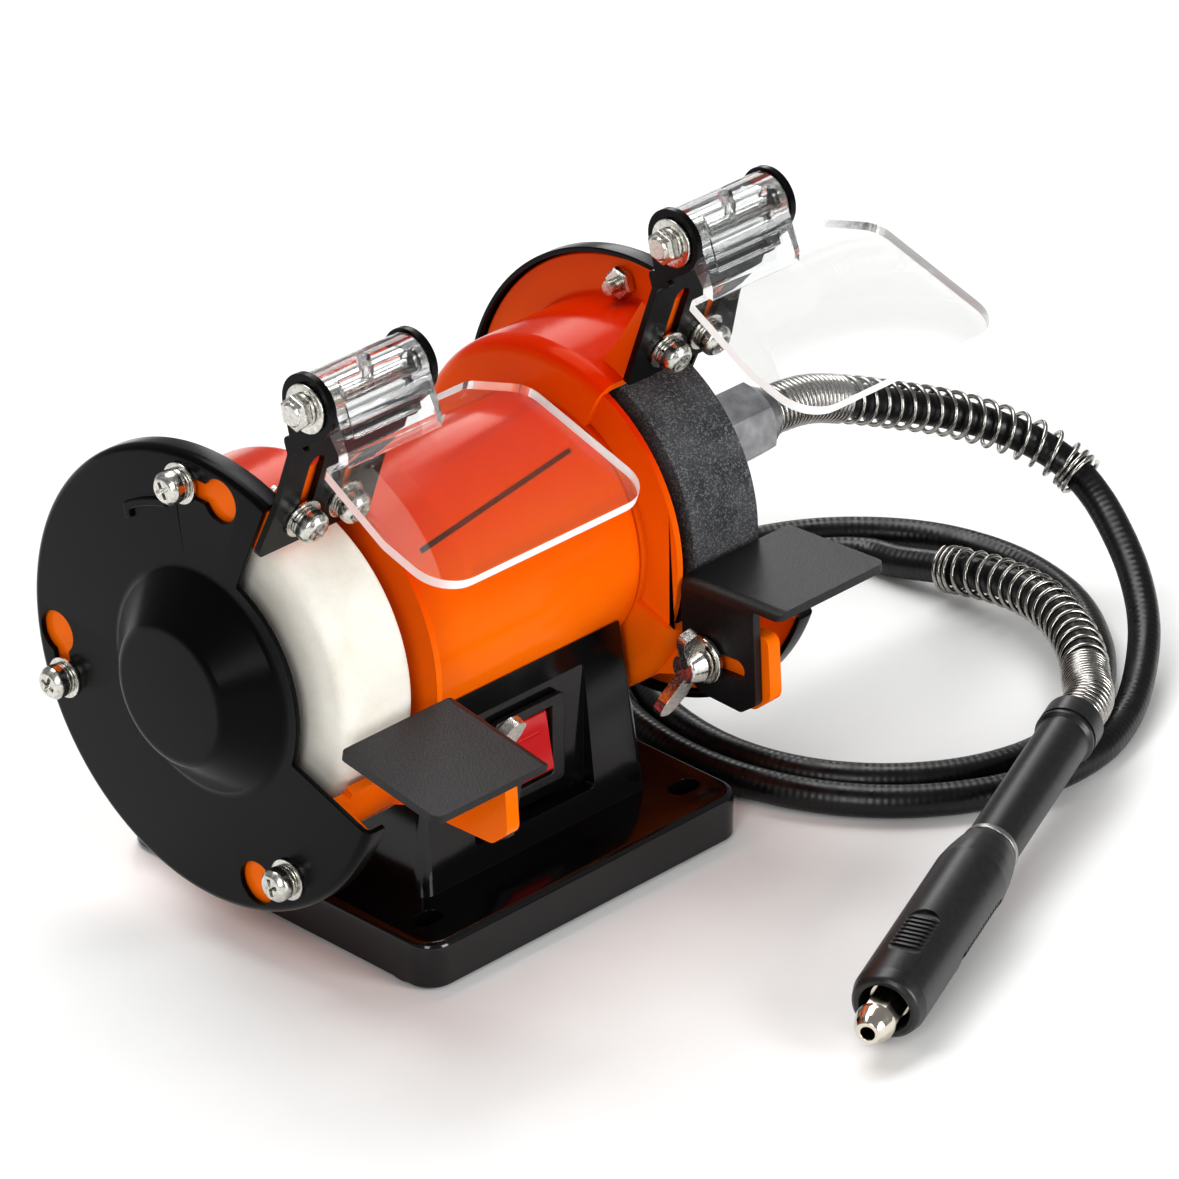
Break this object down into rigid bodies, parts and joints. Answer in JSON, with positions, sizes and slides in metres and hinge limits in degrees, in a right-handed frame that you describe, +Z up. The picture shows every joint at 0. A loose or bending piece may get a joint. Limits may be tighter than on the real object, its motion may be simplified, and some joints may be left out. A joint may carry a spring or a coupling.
{
  "type": "bench grinder",
  "caption": "Small double-ended bench grinder with a felt wheel, a grinding wheel, clear eye shields, tool rests and a flexible shaft with a collet handpiece.",
  "frame": {"origin": "middle of the base plate's underside, on the floor plane, centred on the four bench bolt slots and below the middle of the spindle", "axes": "+Z up, +X along the spindle from the felt wheel to the grinding wheel, -Y towards the user"},
  "size_m": [0.2628, 0.1861, 0.1487],
  "materials": {
    "orange_paint": "gloss",
    "gloss_black": "gloss",
    "black_paint": "semi-gloss",
    "satin_black": "satin",
    "zinc": "plated",
    "steel": "ground",
    "iron": "laminated",
    "copper": "enamelled",
    "segments": "machined",
    "plastic": "matt",
    "graphite": "matt",
    "felt": "felt",
    "stone": "abrasive",
    "red": "gloss",
    "clear": "clear",
    "aluminium": "turned",
    "nickel": "plated",
    "sheath": "smooth"
  },
  "bodies": {
    "machine": {"base_plate": "steel", "base_plate_screw_left": "steel", "base_plate_screw_right": "steel", "base_shell": "gloss_black", "bearing_left": "steel", "bearing_right": "steel", "brush_front": "graphite", "brush_rear": "graphite", "brush_ring": "plastic", "cord_gland": "gloss_black", "drive_coupling": "aluminium", "field_coil_front": "copper", "field_coil_rear": "copper", "handpiece_grip": "gloss_black", "handpiece_spring": "zinc", "handpiece_tube": "black_paint", "left_bracket_screw_1": "zinc", "left_bracket_screw_2": "zinc", "left_cover": "black_paint", "left_cover_screw_1": "zinc", "left_cover_screw_2": "zinc", "left_cover_screw_3": "zinc", "left_guard": "orange_paint", "machine_spring": "zinc", "motor_barrel": "orange_paint", "right_bracket_screw_1": "zinc", "right_bracket_screw_2": "zinc", "right_cover": "black_paint", "right_cover_screw_1": "zinc", "right_cover_screw_2": "zinc", "right_cover_screw_3": "zinc", "right_guard": "orange_paint", "shaft_sheath": "sheath", "stator_core": "iron", "switch_body": "gloss_black"},
    "rotor": {"arbor_shaft": "steel", "armature_core": "iron", "armature_winding": "copper", "commutator": "segments", "cooling_fan": "plastic", "felt_wheel": "felt", "grinding_wheel": "stone", "left_outer_flange": "steel", "right_outer_flange": "steel", "left_arbor_nut": "zinc", "right_arbor_nut": "zinc"},
    "collet": {"collet_nut": "nickel"},
    "switch_rocker": {"switch_rocker": "red"},
    "left_rest_pivot": {"left_rest_washer": "zinc"},
    "left_rest": {"left_tool_rest": "satin_black"},
    "left_wing_bolt": {"left_wing_bolt": "zinc"},
    "left_bracket": {"left_shield_bracket": "black_paint", "left_shield_bolt": "zinc"},
    "left_shield": {"left_shield": "clear"},
    "right_rest_pivot": {"right_rest_washer": "zinc"},
    "right_rest": {"right_tool_rest": "satin_black"},
    "right_wing_bolt": {"right_wing_bolt": "zinc"},
    "right_bracket": {"right_shield_bracket": "black_paint", "right_shield_bolt": "zinc"},
    "right_shield": {"right_shield": "clear"}
  },
  "joints": [
    {"name": "spindle_spin", "type": "hinge", "parent": "machine", "child": "rotor", "pos_m": [0, 0, 0.0655], "axis": [1, 0, 0], "continuous": true},
    {"name": "collet_spin", "type": "hinge", "parent": "machine", "child": "collet", "pos_m": [0.00852, -0.12584, 0.00906], "axis": [-0.9262, -0.3723, -0.06], "continuous": true},
    {"name": "switch_rock", "type": "hinge", "parent": "machine", "child": "switch_rocker", "pos_m": [0, -0.0255, 0.033], "axis": [1, 0, 0], "range_deg": [0, 18]},
    {"name": "left_rest_tilt", "type": "hinge", "parent": "machine", "child": "left_rest_pivot", "pos_m": [-0.0345, -0.047, 0.0485], "axis": [1, 0, 0], "range_deg": [-12, 10]},
    {"name": "left_rest_slide", "type": "slide", "parent": "left_rest_pivot", "child": "left_rest", "axis": [0, -0.986, -0.1668], "range_m": [0, 0.005]},
    {"name": "left_wing_turn", "type": "hinge", "parent": "machine", "child": "left_wing_bolt", "pos_m": [-0.033, -0.047, 0.0485], "axis": [1, 0, 0], "range_deg": [0, 360]},
    {"name": "left_bracket_slide", "type": "slide", "parent": "machine", "child": "left_bracket", "axis": [0, -0.3256, 0.9455], "range_m": [-0.0035, 0]},
    {"name": "left_shield_swing", "type": "hinge", "parent": "left_bracket", "child": "left_shield", "pos_m": [-0.053, -0.034, 0.1415], "axis": [-1, 0, 0], "range_deg": [-10, 75]},
    {"name": "right_rest_tilt", "type": "hinge", "parent": "machine", "child": "right_rest_pivot", "pos_m": [0.0345, -0.047, 0.0485], "axis": [1, 0, 0], "range_deg": [0, 20]},
    {"name": "right_rest_slide", "type": "slide", "parent": "right_rest_pivot", "child": "right_rest", "axis": [0, -0.9986, 0.0523], "range_m": [0, 0.005]},
    {"name": "right_wing_turn", "type": "hinge", "parent": "machine", "child": "right_wing_bolt", "pos_m": [0.033, -0.047, 0.0485], "axis": [-1, 0, 0], "range_deg": [0, 360]},
    {"name": "right_bracket_slide", "type": "slide", "parent": "machine", "child": "right_bracket", "axis": [0, -0.3256, 0.9455], "range_m": [-0.0035, 0]},
    {"name": "right_shield_swing", "type": "hinge", "parent": "right_bracket", "child": "right_shield", "pos_m": [0.053, -0.034, 0.1415], "axis": [-1, 0, 0], "range_deg": [-10, 75]}
  ],
  "couplings": [
    {"joint": "collet_spin", "follows": "spindle_spin", "ratio": 1}
  ]
}
